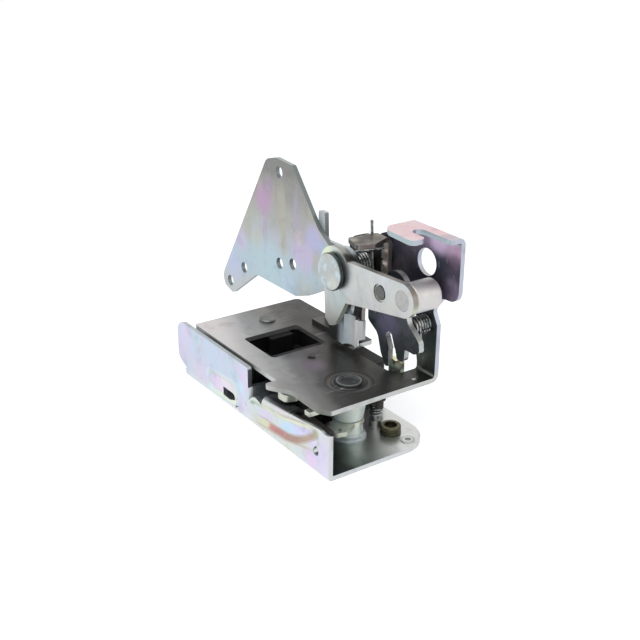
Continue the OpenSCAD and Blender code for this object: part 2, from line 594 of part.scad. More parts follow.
module handle_lever() {
    holes = [[-57, 38.3], [-112.8, -42.1], [-96.2, -28.7], [-57.2, -14.2], [-43.9, -10.7]];
    from_corner() color([0.72, 0.7, 0.75]) difference() {
        upright(handle_y, handle_t) translate([pin_x, pin_z]) union() {
            circle(12);
            polygon(rounded([[-8, 9], [-19.8, 16.4], [-43.8, 44.8, 3], [-60, 45.8, 5], [-70, 43.2, 7],
                [-122.5, -41.4, 8], [-119, -47, 3], [-110.1, -49.4, 4], [-82.2, -28.8, 3], [-41, -28.6, 6],
                [-28, -24, 8], [-4, -11]]));
        }
        bar_y([pin_x, pin_z], handle_y - 1, handle_t + 2, pin_d + 2 * run);
        for (h = holes) bar_y([pin_x + h.x, pin_z + h.y], handle_y - 1, handle_t + 2, rod_hole_d);
    }
}

module lug_lever() {
    curl_r = 7.4;
    from_corner() color([0.5, 0.51, 0.52]) {
        difference() {
            upright(lug_y, lug_t) translate([pin_x, pin_z]) union() {
                circle(11.6);
                polygon(rounded([[-23.4, 2, 3], [-23.2, 25.2, 0.8], [-17.6, 25.4, 0.8], [-17, 10.6, 2], [-4.4, 11, 1],
                    [2, 4], [-4, -8]]));
                polygon(rounded([[-9.5, -6], [-12.4, -36, 6], [-12.6, -43, 1], [0.8, -43, 1], [1, -40], [9.6, -8]]));
            }
            bar_y([pin_x, pin_z], lug_y - 1, lug_t + 2, pin_d + 2 * run);
        }
        translate([-54.6, lug_y - 4.6, 0]) intersection() {
            translate([0, 0, 37]) rotate([0, 0, 32]) rotate_extrude(angle = 116) translate([curl_r - 1.8, 0])
                square([1.8, 17]);
            upright(-1, 20) polygon([[-9, 36], [3, 36], [9, 42], [9, 60], [-9, 60]]);
        }
        upright(lug_y - 0.9, 1.8) polygon([[-49.2, 42], [-44, 44.5], [-44, 55], [-49.2, 53.4]]);
    }
}

face_bracket();
frame_plate();
press_nut();
near_stud();
spacer_sleeve();
stud_washer();
far_rivet();
latch_housing();
rubber_buffer();
rubber_stop();
claw_pivot();
claw_spring();
pawl_pivot();
pawl_spring();
lever_bracket();
bracket_rivets();
main_pin();
pin_sleeve();
upper_spring();
spring_stud();
lower_spring();
claw();
pawl();
release_lever();
locking_lever();
bell_crank();
roller_pin();
fork_rivet();
roller();
fork_lever();
handle_lever();
lug_lever();
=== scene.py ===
"""A cab door lock on a white table: zinc-plated steel under a thin coloured film, a black moulded
housing and rubber buffers."""

from functools import cached_property
import math

import bpy
from mathutils import Matrix, Vector


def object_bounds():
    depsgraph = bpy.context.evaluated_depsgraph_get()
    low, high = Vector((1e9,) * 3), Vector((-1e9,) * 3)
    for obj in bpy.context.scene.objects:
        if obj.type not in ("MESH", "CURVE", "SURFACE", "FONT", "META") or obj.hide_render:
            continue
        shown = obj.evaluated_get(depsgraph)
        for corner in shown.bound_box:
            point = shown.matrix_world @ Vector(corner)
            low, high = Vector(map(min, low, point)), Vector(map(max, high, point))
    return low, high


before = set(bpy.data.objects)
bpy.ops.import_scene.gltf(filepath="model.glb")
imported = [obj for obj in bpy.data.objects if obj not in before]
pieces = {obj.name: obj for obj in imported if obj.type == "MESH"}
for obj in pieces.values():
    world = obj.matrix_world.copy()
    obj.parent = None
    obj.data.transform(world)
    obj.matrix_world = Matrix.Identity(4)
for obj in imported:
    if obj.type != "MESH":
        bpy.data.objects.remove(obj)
cad_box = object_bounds()

# Places are in millimetres from the lower outer corner at the near end of the lock's face plate.
CORNER = Vector((18.0, -51.5, 0.0))
UP, DOWN = (0, 0, 1), (0, 0, -1)
OUT, IN = (0, -1, 0), (0, 1, 0)
FAR, NEAR = (-1, 0, 0), (1, 0, 0)

# Upright axes, as x and y.
NEAR_STUD = (-28.8, 32.4)
FAR_RIVET = (-117.4, 40.3)
PAWL_SHADE = (-29, 55)
BASE_HOLE = (-7, 54)

# The middle lines of the face plate's pressed pockets, and of the painted edge below the long one.
SLOT_POCKET = [(-110.5, 0, 8.2), (-90, 0, 9.4)]
LONG_POCKET = [(-66.5, 0, 8.8), (-40, 0, 11.4), (-14.4, 0, 17.4)]
LOWER_EDGE = [(-67, 0, 5.2), (-36, 0, 7.8), (-28, 0, 9.9), (-21, 0, 13.4), (-15, 0, 17.4), (-10.6, 0, 21.4)]
# The share of a pressed step's direction that is up or down, where its colour starts and is full.
STEP_LEAN = (0.12, 0.33)

# A mask that leaves nothing out.
EVERYWHERE = 1.0

# The tints that drift over the smaller pieces.
BRIGHT = [(204, 212, 214), (196, 214, 222), (212, 218, 206), (216, 206, 214), (206, 212, 212)]
STEEL = [(168, 170, 168), (182, 180, 176), (172, 178, 180), (188, 184, 182), (170, 172, 172)]
DARK = [(84, 86, 84), (98, 96, 92), (88, 94, 96), (104, 98, 96), (86, 88, 90)]
OLIVE = [(62, 62, 50), (88, 84, 62), (72, 78, 60), (100, 92, 70), (60, 62, 54)]
RIVET_GREY = [(112, 112, 111), (126, 125, 123), (104, 105, 106)]
ROLLER_GREY = [(190, 188, 186), (204, 201, 198), (196, 198, 198)]
STUD_WHITE = [(216, 226, 226), (232, 238, 226), (222, 232, 236)]
SLEEVE_WHITE = [(228, 240, 244), (214, 236, 246), (240, 246, 228), (240, 228, 240), (230, 242, 242)]

# The room, the table and the place that the lamps point at, in metres.
WHITE = (255, 255, 255)
ROOM_GREY = (190, 193, 198)
TABLE_WHITE = (238, 238, 238)
TABLE_RADIUS = 4.0
TABLE_GLOW = 0.54
LAMP_AIM = Vector((-0.05, 0.0, 0.03))

# The photographer's camera: its focal length in the photograph's pixels, its place from the corner
# and its turn to the left, down and sideways in degrees.
PHOTO_WIDTH = 640.0
FOCAL_LENGTH = 1050.0
SENSOR_WIDTH = 36.0
CAMERA_PLACE = (347.1, -248.6, 267.8)
CAMERA_LEFT = 55.0
CAMERA_DOWN = 23.3
CAMERA_ROLL = 0.4


def at(x, y, z):
    """A point of the lock, in millimetres from its corner, as the shaders see it."""
    return tuple(Vector((x, y, z)) + CORNER)


def shade(red, green, blue):
    """A colour as a paint card gives it, 0 to 255, turned into the linear colour that a shader takes."""
    def linear(part):
        part = part / 255
        return part / 12.92 if part <= 0.04045 else ((part + 0.055) / 1.055) ** 2.4
    return (linear(red), linear(green), linear(blue), 1.0)


class Signal:
    """A socket that can stand in an expression: every operator adds one Math node."""

    def __init__(self, finish, socket):
        self.finish = finish
        self.socket = socket

    def __add__(self, other):
        return self.finish.reckon("ADD", self, other)

    def __radd__(self, other):
        return self.finish.reckon("ADD", other, self)

    def __sub__(self, other):
        return self.finish.reckon("SUBTRACT", self, other)

    def __rsub__(self, other):
        return self.finish.reckon("SUBTRACT", other, self)

    def __mul__(self, other):
        return self.finish.reckon("MULTIPLY", self, other)

    def __rmul__(self, other):
        return self.finish.reckon("MULTIPLY", other, self)


class Finish:
    """A surface finish: one shader tree, the colour laid on so far and the steps that lay it on."""

    def __init__(self, name, colour=None, owner=None):
        self.owner = owner or bpy.data.materials.new(name)
        self.owner.use_nodes = True
        self.tree = self.owner.node_tree
        self.shader = self.tree.nodes.get("Principled BSDF")
        self.colour = shade(*colour) if colour else None

    def node(self, kind, settings=None, inputs=None, out=0):
        """Adds a node: its settings first, then the values or links of its sockets."""
        made = self.tree.nodes.new(kind)
        for name, value in (settings or {}).items():
            if name == "stops":
                self.set_stops(made.color_ramp, value)
            else:
                setattr(made, name, value)
        for name, value in (inputs or {}).items():
            self.feed(made.inputs[name], value)
        return Signal(self, made.outputs[out])

    def set_stops(self, ramp, stops):
        """Gives a colour ramp its stops, each a place from 0 to 1 and a colour."""
        ramp.interpolation = "EASE"
        while len(ramp.elements) < len(stops):
            ramp.elements.new(1.0)
        for element, (place, colour) in zip(ramp.elements, stops):
            element.position = place
            element.color = shade(*colour)

    def feed(self, socket, value):
        """Links a signal to a socket, or sets the socket to a plain value."""
        if isinstance(value, Signal):
            self.tree.links.new(value.socket, socket)
        else:
            socket.default_value = value

    def reckon(self, operation, first, second):
        """Arithmetic on two values."""
        return self.node("ShaderNodeMath", {"operation": operation}, {0: first, 1: second})

    def vector(self, operation, first, second, out=0):
        """Arithmetic on two vectors."""
        return self.node("ShaderNodeVectorMath", {"operation": operation}, {0: first, 1: second}, out)

    def mix(self, amount, under, over, how="MIX"):
        """Lays one colour over another, through the Mix node's own colour sockets: 6, 7 and output 2."""
        settings = {"data_type": "RGBA", "blend_type": how}
        return self.node("ShaderNodeMix", settings, {0: amount, 6: under, 7: over}, out=2)

    def ramp(self, value, stops):
        """The colour that the stops give to a value from 0 to 1."""
        return self.node("ShaderNodeValToRGB", {"stops": stops}, {0: value})

    @cached_property
    def point(self):
        """The point that is shaded, in millimetres."""
        return self.vector("MULTIPLY", self.node("ShaderNodeTexCoord", out="Object"), (1000.0,) * 3)

    @cached_property
    def outward(self):
        """The way the surface faces."""
        return self.node("ShaderNodeTexCoord", out="Normal")

    def ease(self, value, start, end):
        """Runs smoothly from 0 to 1 while value runs from start to end, also where start is the larger."""
        low, high = (1.0, 0.0) if start > end else (0.0, 1.0)
        return self.node("ShaderNodeMapRange", {"interpolation_type": "SMOOTHSTEP"},
                         {0: value, 1: min(start, end), 2: max(start, end), 3: low, 4: high})

    def band(self, value, low, high, soft):
        """1 while value is between low and high, with soft borders."""
        return self.ease(value, low - soft, low + soft) * self.ease(value, high + soft, high - soft)

    def along(self, way, start, end):
        """How far the point lies along a way, with two distances from the corner in the same measure."""
        shift = CORNER.dot(Vector(way))
        return self.vector("DOT_PRODUCT", self.point, way, "Value"), start + shift, end + shift

    def level(self, way, start, end):
        """Runs evenly from 0 to 1 between two distances from the corner along a way."""
        distance, start, end = self.along(way, start, end)
        return self.node("ShaderNodeMapRange", inputs={0: distance, 1: start, 2: end})

    def reach(self, way, start, end):
        """Runs smoothly from 0 to 1 between two distances from the corner along a way."""
        return self.ease(*self.along(way, start, end))

    def back(self, start, end):
        """0 at one depth behind the outer face, 1 at the other."""
        return self.reach(IN, start, end)

    def up(self, start, end):
        """0 at one height, 1 at the other."""
        return self.reach(UP, start, end)

    def side(self, start, end):
        """0 at one place along the lock, 1 at the other; the face plate runs from 0 to -150."""
        return self.reach(NEAR, start, end)

    def facing(self, way, start=0.5, end=0.9):
        """1 where the surface faces one way."""
        return self.ease(self.vector("DOT_PRODUCT", self.outward, way, "Value"), start, end)

    def near(self, place, inner, outer):
        """1 within the inner radius of a place, 0 beyond the outer one."""
        return self.ease(self.vector("DISTANCE", self.point, at(*place), "Value"), outer, inner)

    def from_line(self, start, end):
        """Distance from the line between two places."""
        start, end = Vector(at(*start)), Vector(at(*end))
        way = end - start
        offset = self.vector("SUBTRACT", self.point, tuple(start))
        share = self.vector("DOT_PRODUCT", offset, tuple(way / way.length_squared), "Value")
        share = self.node("ShaderNodeClamp", inputs={0: share})
        on_line = self.node("ShaderNodeVectorMath", {"operation": "SCALE"}, {0: tuple(way), "Scale": share})
        return self.vector("DISTANCE", offset, on_line, "Value")

    def from_path(self, places):
        """Distance from the lines that join places one after the other."""
        nearest = self.from_line(places[0], places[1])
        for start, end in zip(places[1:], places[2:]):
            nearest = self.reckon("MINIMUM", nearest, self.from_line(start, end))
        return nearest

    def from_axis(self, axis):
        """Distance from an upright axis."""
        flat = self.vector("MULTIPLY", self.point, (1.0, 1.0, 0.0))
        return self.vector("DISTANCE", flat, at(*axis, 0), "Value")

    def cloud(self, size, seed, stretch=(1.0, 1.0, 1.0), detail=2.0, warp=0.0):
        """Soft patches of about that size in millimetres, 0 to 1."""
        scaled = self.vector("MULTIPLY", self.point, tuple(s / size for s in stretch))
        return self.node("ShaderNodeTexNoise", {"noise_dimensions": "4D"},
                         {"Vector": scaled, "W": seed, "Scale": 1.0, "Detail": detail, "Distortion": warp})

    def sway(self, value, amount, cloud):
        """A value that a cloud moves up and down, by half the amount each way."""
        return value + cloud * amount - amount / 2

    def brush(self, mask, colour, how="MIX"):
        """Lays a colour over what is there, where the mask is 1."""
        over = colour if isinstance(colour, Signal) else shade(*colour)
        self.colour = self.mix(mask, self.colour, over, how)

    def fade(self, mask, value, stops):
        """Lays a run of colours over what is there, where the mask is 1."""
        self.brush(mask, self.ramp(value, stops))

    def daub(self, mask, marks):
        """Soft round marks within a mask: place, inner and outer radius, strength and colour of each."""
        for place, inner, outer, strength, colour in marks:
            self.brush(self.near(place, inner, outer) * mask * strength, colour)

    def set(self, **sockets):
        """Sets the shader's own sockets; an underscore stands for a space."""
        for name, value in sockets.items():
            self.feed(self.shader.inputs[name.replace("_", " ")], value)

    def dent(self, height, depth):
        """Small unevenness, depth in millimetres."""
        inputs = {"Strength": 1.0, "Distance": depth / 1000, "Height": height}
        self.set(Normal=self.node("ShaderNodeBump", inputs=inputs))


def film(f, mask, tints, seed, size, strength):
    """The coloured film of the passivation: tints that drift into each other."""
    first, spread = 0.34, 0.32
    stops = [(first + spread * i / (len(tints) - 1), tint) for i, tint in enumerate(tints)]
    f.fade(mask * strength, f.cloud(size, seed, detail=2.5, warp=0.5), stops)


def zinc_coat(f, seed, rough, scuffs, metal=0.9):
    """The last of every plated piece: scuffs, scratches and specks, and how it shines."""
    speck = f.cloud(1.5, seed + 5, detail=3.0)
    scratch = f.ease(f.cloud(2.0, seed + 9, (1.0, 0.07, 0.45), detail=1.0), 0.66, 0.72)
    scuff = f.ease(f.cloud(12.0, seed + 3, detail=4.0, warp=1.4), 0.50, 0.72)
    f.brush(scuff * scuffs, (150, 148, 146), "MULTIPLY")
    f.brush(scratch * 0.14, (226, 229, 232))
    f.brush(f.ease(speck, 0.62, 0.75) * 0.12, (84, 84, 86))
    f.set(Base_Color=f.colour, Metallic=metal, Roughness=rough + speck * 0.08 + scuff * 0.10)
    f.dent(f.cloud(0.9, seed + 11) + f.cloud(16.0, seed + 12) * 3.0, 0.010)
    return f.owner


# The face plate, its lip and its base.

def face_plate_zinc():
    """The outer face is bluish with rose and lilac drifts, and the base is painted from dark to white as
    painted shade and reflection.
    """
    f = Finish("face plate zinc", (186, 191, 194))
    tints = [(176, 184, 190), (196, 198, 208), (188, 200, 204), (204, 206, 196), (186, 190, 200)]
    film(f, EVERYWHERE, tints, seed=21.0, size=30.0, strength=0.35)
    # The outer face with its pressed steps, without the guide wall and the base behind it.
    front = f.facing(OUT, 0.55, 0.85) * f.back(3.6, 2.4)
    outer_drifts(f, front)
    slot_pocket(f, front)
    near_drifts(f, front * f.side(-78, -68))
    long_pocket(f, front)
    painted_lower_edge(f, front)
    lip_and_guide(f)
    base_floor(f)
    return zinc_coat(f, seed=1.0, rough=0.3, scuffs=0.14)


def outer_drifts(f, front):
    """Sky blue, lilac and rose over the outer face, a little greyer beyond the notch and at the bottom."""
    tints = [(194, 213, 231), (203, 210, 230), (214, 205, 230), (202, 210, 229), (196, 214, 226)]
    film(f, front, tints, seed=1.0, size=24.0, strength=0.85)
    f.daub(front, [
        ((-141, 0, 27), 2, 13, 0.7, (219, 206, 236)),
        ((-126, 0, 8), 2, 12, 0.7, (222, 205, 227)),
        ((-108, 0, 24), 4, 20, 0.6, (195, 213, 232)),
        ((-76, 0, 22), 2, 9, 0.8, (207, 199, 226)),
        ((-134, 0, 20), 3, 11, 0.5, (205, 209, 233)),
        ((-88, 0, 20), 2, 8, 0.6, (192, 216, 228)),
        ((-81, 0, 17), 1, 6, 0.8, (196, 222, 234)),
    ])
    f.brush(front * f.side(-76, -84) * 0.8, (240, 243, 240), "MULTIPLY")
    f.brush(front * f.up(5, 1) * 0.7, (207, 214, 211))


def slot_pocket(f, front):
    """The small pocket round the slot: pale blue outside it, mint and straw edges and a lilac floor."""
    middle = f.from_path(SLOT_POCKET)
    around = front * f.band(middle, 5.6, 8.0, 1.2)
    edge = front * f.band(middle, 4.2, 6.5, 0.4)
    floor = front * f.ease(middle, 4.8, 3.8)
    edge_length = f.level(NEAR, -118, -83)
    f.brush(around * 0.5, (208, 224, 228))
    f.fade(edge * f.facing(UP, *STEP_LEAN), edge_length, [
        (0.0, (204, 220, 222)), (0.5, (214, 224, 208)), (1.0, (222, 224, 206))])
    f.fade(edge * f.facing(DOWN, *STEP_LEAN), edge_length, [
        (0.0, (190, 204, 208)), (0.3, (206, 218, 210)), (0.6, (224, 222, 206)), (1.0, (206, 214, 204))])
    f.fade(floor, f.level(NEAR, -116, -84), [
        (0.0, (196, 206, 214)), (0.22, (214, 199, 222)), (0.5, (220, 210, 222)), (1.0, (208, 214, 208))])


def near_drifts(f, near_part):
    """The near part is pale green and straw, lilac and rose towards its end."""
    tints = [(206, 214, 208), (210, 212, 206), (203, 213, 214), (212, 208, 206), (205, 211, 205)]
    film(f, near_part, tints, seed=2.0, size=20.0, strength=0.85)
    f.daub(near_part, [
        ((-8, 0, 12), 3, 15, 0.85, (206, 200, 226)),
        ((-15, 0, 5), 1, 8, 0.8, (221, 197, 228)),
        ((-2, 0, 20), 1, 6, 0.5, (207, 205, 216)),
        ((-3, 0, 3), 1, 8, 0.7, (212, 208, 228)),
        ((-34, 0, 3), 2, 11, 0.6, (206, 215, 204)),
        ((-62, 0, 3), 2, 12, 0.5, (204, 213, 210)),
    ])


def long_pocket(f, front):
    """The long pocket: brown outside it, a green upper edge and a lilac and blue floor."""
    middle = f.from_path(LONG_POCKET)
    around = front * f.band(middle, 5.6, 7.0, 0.5)
    edge = front * f.band(middle, 3.5, 5.8, 0.3)
    floor = front * f.ease(middle, 3.9, 3.2)
    f.fade(around * 0.65, f.level(NEAR, -74, -8), [
        (0.0, (208, 212, 198)), (0.35, (196, 190, 172)), (0.7, (182, 166, 156)), (1.0, (196, 208, 182))])
    # The upper edge's far end is painted dark green, as painted shade of the bevel.
    f.fade(edge * f.facing(DOWN, *STEP_LEAN), f.level(NEAR, -72, -9), [
        (0.0, (140, 160, 146)), (0.12, (176, 196, 176)), (0.3, (214, 222, 200)), (0.8, (218, 224, 202)),
        (1.0, (188, 206, 172))])
    f.fade(floor, f.sway(f.level(NEAR, -70, -10), 0.2, f.cloud(9.0, 4.0)), [
        (0.0, (200, 214, 206)), (0.2, (208, 202, 222)), (0.36, (206, 212, 214)), (0.55, (190, 213, 232)),
        (0.78, (208, 206, 235)), (1.0, (214, 210, 230))])


def painted_lower_edge(f, front):
    """Below the long pocket: straw, then red and brown, and green again where it has risen."""
    edge = f.from_path(LOWER_EDGE)
    begun = f.side(-70, -58)
    f.brush(front * f.ease(edge, 3.2, 1.9) * begun * 0.5, (190, 184, 172))
    f.fade(front * f.ease(edge, 2.0, 1.4) * begun, f.level(NEAR, -72, -9), [
        (0.0, (208, 212, 192)), (0.26, (208, 208, 180)), (0.33, (190, 140, 136)), (0.50, (178, 134, 130)),
        (0.62, (168, 142, 132)), (0.88, (178, 158, 142)), (1.0, (178, 190, 156))])
    # A thin darker line along the edge, painted shade of the pressed step.
    f.brush(front * f.band(edge, 1.9, 2.3, 0.2) * begun * 0.4, (150, 134, 122))


def lip_and_guide(f):
    """The turned-in lip is painted dark towards its near end, as painted shade; the guide wall in the notch
    is pale blue.
    """
    lip = f.up(15.5, 17.5) * f.side(-63, -58) * f.back(0.8, 1.8)
    f.fade(lip, f.level(NEAR, -60, -33), [
        (0.0, (160, 164, 166)), (0.3, (92, 95, 98)), (0.6, (58, 60, 64)), (1.0, (50, 52, 57))])
    guide = f.back(3, 4.5) * f.back(24, 22) * f.side(-90, -86) * f.side(-62, -66) * f.up(4, 6)
    f.brush(guide * 0.85, (226, 238, 242))


def base_floor(f):
    """The base is painted nearly black at the face plate and white at the back, as painted shade and
    reflection, with a grey ring at its hole.
    """
    floor = f.facing(UP, 0.6, 0.9) * f.up(4, 3.2)
    f.fade(floor, f.sway(f.level(IN, 0, 66), 0.12, f.cloud(14.0, 7.0)), [
        (0.0, (40, 45, 45)), (0.18, (64, 70, 70)), (0.30, (134, 142, 137)), (0.46, (194, 199, 195)),
        (0.68, (228, 229, 226)), (0.92, (218, 219, 216))])
    f.brush(floor * f.band(f.from_axis(BASE_HOLE), 2.6, 3.4, 0.4) * 0.6, (132, 132, 130))
    near_rim = f.facing(NEAR, 0.6, 0.9) * f.side(-20, -6)
    f.brush(near_rim * 0.8, (202, 204, 204))
    inner_face = f.facing(IN, 0.6, 0.9) * f.back(6, 3)
    f.brush(inner_face * 0.6, (214, 220, 222))


# The frame plate, its anchor plate and its hook.

def frame_plate_zinc():
    """The top is painted dark towards its bend, as painted reflection and shade; the anchor plate above it
    is navy and rose, its dark tones painted reflection; the hook is pink.
    """
    f = Finish("frame plate zinc", (182, 184, 184))
    tints = [(176, 180, 184), (196, 190, 200), (182, 190, 190), (198, 196, 184), (180, 184, 192)]
    film(f, EVERYWHERE, tints, seed=22.0, size=26.0, strength=0.4)
    # The top plate alone: the hook, which faces up too, is high above it.
    top = f.facing(UP) * f.up(40, 36)
    frame_top(f, top)
    stud_rings(f, top)
    anchor_face(f)
    hook_top(f)
    frame_edges(f)
    return zinc_coat(f, seed=2.0, rough=0.34, scuffs=0.22)


def frame_top(f, top):
    """Painted reflection and shade, from light at the far outer corner to dark at the bend, with soft
    patches, a painted shadow below the window and a small painted highlight.
    """
    # A slanting way from the far outer corner to the near end of the bend, in units of about 84 mm.
    to_bend = (0.0036, 0.0114, 0.0)
    drift = f.sway(f.level(to_bend, -0.42, 0.58), 0.10, f.cloud(17.0, 3.0, detail=3.0, warp=0.8))
    f.fade(top, drift, [
        (0.10, (214, 210, 209)), (0.22, (206, 202, 199)), (0.34, (180, 177, 173)), (0.46, (134, 131, 129)),
        (0.56, (92, 89, 88)), (0.68, (78, 76, 74)), (1.0, (66, 66, 63))])
    f.daub(top, [
        ((-54, 28, 32), 2, 10, 0.6, (138, 120, 138)),
        # A painted shadow below the window's edge.
        ((-73, 27, 32), 2, 11, 0.5, (76, 72, 72)),
        ((-40, 3, 32), 3, 16, 0.4, (150, 146, 142)),
        ((-128, 8, 32), 2, 14, 0.5, (216, 206, 208)),
        ((-107, 57, 32), 2, 12, 0.7, (60, 57, 56)),
        # Near-black painted shade by the bend.
        ((-28, 57, 32), 3, 12, 0.8, (34, 37, 35)),
        # A small painted highlight.
        ((-12.7, 61.2, 32), 0.5, 1.6, 0.9, (226, 228, 224)),
    ])


def stud_rings(f, top):
    """Rings painted round the near stud's head on the top: dark ones of painted shade and a light one of
    painted highlight.
    """
    stud = f.from_axis(NEAR_STUD)
    f.brush(top * f.band(stud, 7.0, 9.4, 1.0) * 0.6, (56, 58, 56))
    f.brush(top * f.band(stud, 9.6, 11.8, 0.5) * 0.5, (132, 131, 129))
    f.brush(top * f.band(stud, 12.2, 13.0, 0.4) * 0.4, (74, 73, 71))
    f.daub(top * f.ease(stud, 13.2, 12.2), [((-38, 24, 32), 2, 7, 0.55, (112, 100, 92))])
    # A dark painted shadow right round the head.
    f.brush(top * f.band(stud, 6.4, 7.4, 0.3) * 0.8, (34, 36, 36))


def anchor_face(f):
    """The anchor plate, from grey green at the foot through navy to rose below the hook; its dark tones are
    painted reflection.
    """
    # Far enough back to leave out the top plate's front edge.
    anchor = f.facing(OUT) * f.back(60, 66)
    f.fade(anchor, f.sway(f.level(UP, 34, 110), 0.10, f.cloud(15.0, 5.0)), [
        (0.0, (78, 82, 80)), (0.22, (104, 114, 112)), (0.38, (116, 122, 128)), (0.56, (112, 106, 124)),
        (0.70, (92, 90, 106)), (0.80, (84, 82, 100)), (0.90, (140, 124, 148)), (0.97, (176, 156, 182))])
    f.daub(anchor, [
        # A near-black painted shadow beside the bracket.
        ((-46, 71, 86), 1, 6, 0.95, (28, 28, 36)),
        ((-37, 71, 84), 2, 9, 0.9, (128, 124, 134)),
        ((-30, 71, 93), 3, 12, 0.8, (118, 110, 124)),
        ((2, 71, 105), 3, 11, 0.9, (196, 164, 192)),
        ((-10, 71, 104), 3, 9, 0.9, (206, 184, 214)),
        ((-12, 71, 92), 2, 9, 0.85, (70, 76, 92)),
        ((2, 71, 97), 2, 6, 0.7, (126, 108, 128)),
        ((-1, 71, 90), 2, 6, 0.7, (104, 96, 118)),
        ((0, 71, 83), 2, 8, 0.9, (196, 182, 212)),
        ((3, 71, 79), 2, 10, 0.8, (158, 140, 168)),
    ])


def hook_top(f):
    """The hook's top is pink, and its front bend grey blue."""
    hook = f.facing(UP) * f.up(104, 108)
    f.fade(hook, f.cloud(9.0, 8.0, warp=0.4), [
        (0.34, (222, 212, 214)), (0.45, (230, 205, 208)), (0.56, (227, 198, 202)), (0.66, (224, 202, 206))])
    f.daub(hook, [
        ((-10, 67, 111), 2, 9, 0.6, (230, 188, 196)),
        ((2, 66, 111), 2, 7, 0.7, (184, 176, 184)),
        ((-34, 66, 111), 2, 8, 0.6, (196, 204, 208)),
    ])
    brow = f.up(104, 107) * f.facing(UP, 0.5, 0.2)
    f.brush(brow * f.facing(OUT, 0.3, 0.7) * 0.75, (158, 178, 182))


def frame_edges(f):
    """The sheet's cut edges: painted highlights at the near end and along the top plate, painted shade on
    the slanting cut and on part of the outer edge.
    """
    slanting = (0.35, -0.94, 0.0)
    f.brush(f.facing(NEAR, 0.6, 0.9) * f.up(34, 37) * 0.85, (176, 181, 194))
    skirt = f.up(35, 33) * f.facing(UP, 0.5, 0.2)
    f.brush(skirt * 0.7, (188, 190, 187))
    f.brush(skirt * f.facing(slanting, 0.5, 0.95) * f.side(-60, -20) * 0.85, (104, 106, 99))
    f.brush(skirt * f.facing(OUT, 0.8, 0.98) * f.side(-60, -66) * 0.6, (150, 150, 150))


# The levers.

def handle_plate_zinc():
    """Warm grey above, sky blue and lilac below, with upright straw streaks and a rose patch."""
    f = Finish("handle plate zinc", (176, 180, 180))
    front = f.facing(OUT)
    tints = [(170, 178, 186), (188, 182, 198), (176, 190, 190), (190, 190, 178), (178, 184, 196)]
    film(f, 1.0 - front, tints, seed=23.0, size=26.0, strength=0.5)
    f.fade(front, f.sway(f.level(UP, 40, 122), 0.16, f.cloud(16.0, 9.0, (1.0, 1.0, 0.5))), [
        (0.0, (182, 186, 186)), (0.16, (172, 189, 198)), (0.32, (171, 188, 196)), (0.46, (174, 178, 184)),
        (0.62, (164, 165, 160)), (0.82, (146, 146, 142)), (0.95, (130, 130, 127))])
    streaks = f.cloud(10.0, 12.0, (1.0, 1.0, 0.16), detail=1.5)
    middle = front * f.up(62, 74) * f.up(116, 102)
    f.brush(middle * f.ease(streaks, 0.50, 0.60) * 0.7, (172, 168, 154))
    f.brush(middle * f.ease(streaks, 0.46, 0.38) * 0.6, (166, 156, 178))
    f.daub(front, [
        ((-136, 51, 97), 3, 13, 0.8, (178, 146, 178)),
        ((-130, 50, 106), 2, 9, 0.5, (158, 138, 166)),
        ((-150, 51, 84), 2, 10, 0.6, (166, 172, 160)),
        ((-143, 51, 72), 2, 10, 0.5, (186, 184, 166)),
        ((-162, 51, 66), 2, 11, 0.7, (194, 180, 206)),
        ((-172, 50, 48), 3, 17, 0.75, (180, 187, 212)),
        ((-178, 50, 54), 1, 7, 0.6, (196, 184, 206)),
        ((-130, 50, 60), 5, 22, 0.6, (173, 196, 203)),
        ((-96, 50, 76), 4, 15, 0.75, (188, 176, 207)),
        ((-86, 50, 88), 3, 11, 0.75, (176, 174, 212)),
        ((-77, 50, 84), 2, 9, 0.6, (162, 180, 212)),
        ((-100, 50, 84), 2, 7, 0.5, (188, 184, 172)),
        ((-112, 50, 54), 3, 10, 0.6, (178, 196, 212)),
        ((-92, 50, 54), 3, 13, 0.7, (186, 190, 186)),
        ((-74, 50, 66), 3, 12, 0.5, (186, 190, 188)),
    ])
    # Edges facing the near end are painted darker, as painted shade.
    f.brush((1.0 - front) * f.facing(NEAR, -0.1, 0.4) * 0.8, (98, 108, 108))
    return zinc_coat(f, seed=3.0, rough=0.33, scuffs=0.08)


def bracket_zinc():
    """Bronze brown on the tab, painted dark in front as painted reflection, with a pale painted highlight
    on its leg and painted highlights on its end edges, and plain grey behind.
    """
    f = Finish("bracket zinc", (92, 88, 86))
    film(f, EVERYWHERE, [(70, 70, 70), (104, 96, 92), (88, 92, 90), (120, 104, 100), (76, 74, 82)],
         seed=24.0, size=14.0, strength=0.5)
    tab = f.facing(UP, 0.4, 0.8)
    f.fade(tab * f.up(60, 80), f.cloud(9.0, 14.0, warp=0.6), [
        (0.36, (84, 80, 74)), (0.50, (116, 109, 101)), (0.64, (140, 132, 122))])
    f.daub(tab, [((-52, 50, 97), 1, 5, 0.8, (172, 167, 154))])
    # The front is painted dark, as painted reflection.
    f.brush(f.facing(OUT) * 0.7, (62, 66, 64))
    # A near-white painted highlight on the leg.
    leg = f.ease(f.from_line((-46.4, 68, 76), (-46.4, 68, 93)), 3.4, 2.2)
    f.brush(leg * 0.95, (250, 240, 234))
    # Edges facing the ends are painted lighter, as painted highlights.
    f.brush(f.facing(NEAR, 0.5, 0.9) * 0.7, (150, 140, 136))
    f.brush(f.facing(FAR, 0.5, 0.9) * f.up(80, 90) * 0.8, (196, 202, 176))
    f.brush(f.facing(IN, 0.4, 0.9) * 0.75, (148, 150, 150))
    return zinc_coat(f, seed=4.0, rough=0.34, scuffs=0.2)


